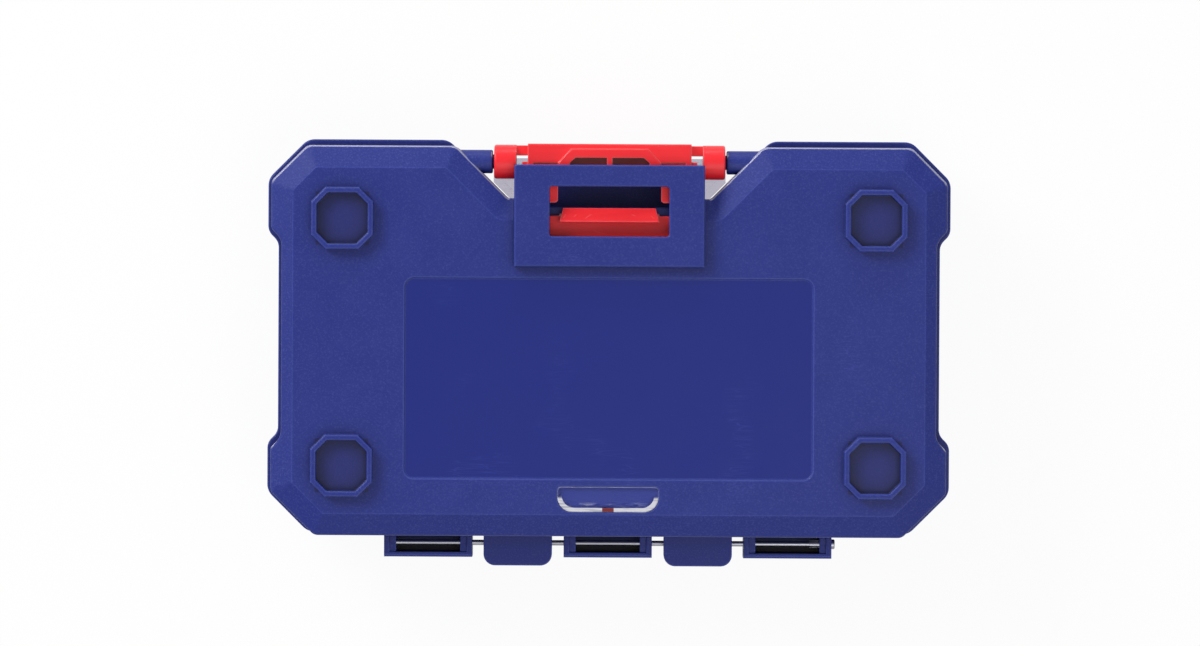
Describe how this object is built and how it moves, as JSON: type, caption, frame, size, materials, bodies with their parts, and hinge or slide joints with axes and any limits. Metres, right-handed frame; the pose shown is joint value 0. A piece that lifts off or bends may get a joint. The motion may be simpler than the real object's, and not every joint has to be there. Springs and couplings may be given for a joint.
{
  "type": "hinged socket case",
  "caption": "Hinged plastic socket case with a rod hinge, a notched edge with a pivoting latch, and a slide lock.",
  "frame": {"origin": "on the surface that the case lies on, under the middle of its bounding box", "axes": "+X along the case, +Y from the hinge to the latch, +Z out of the back, which is up"},
  "size_m": [0.249, 0.155, 0.0495],
  "materials": {
    "blue_shell": "fine moulded grain, navy blue",
    "red_moulding": "smooth bright red moulding",
    "clear_panel": "clear polycarbonate",
    "steel": "bright drawn steel",
    "black_insert": "black moulded insert"
  },
  "bodies": {
    "front_lid": {"front_frame": "blue_shell", "front_window": "clear_panel", "hinge_rod": "steel"},
    "rear_shell": {"rear_shell": "blue_shell", "lock_cover": "blue_shell", "lock_cover_screws": "steel", "lock_detent_spring": "steel", "sight_lens": "clear_panel", "sight_marker": "red_moulding", "socket_tray": "black_insert", "socket_posts": "black_insert", "ratchet_clips": "black_insert", "tray_screws": "steel"},
    "latch": {"latch": "red_moulding"},
    "lock_slider": {"lock_slider": "red_moulding"}
  },
  "joints": [
    {"name": "case_hinge", "type": "hinge", "parent": "front_lid", "child": "rear_shell", "pos_m": [0, -0.0695, 0.018], "axis": [1, 0, 0], "range_deg": [0, 105]},
    {"name": "latch_pivot", "type": "hinge", "parent": "rear_shell", "child": "latch", "pos_m": [0, 0.0694, 0.0383], "axis": [1, 0, 0], "range_deg": [0, 110]},
    {"name": "lock_slide", "type": "slide", "parent": "rear_shell", "child": "lock_slider", "axis": [0, 1, 0], "range_m": [0, 0.007]}
  ]
}
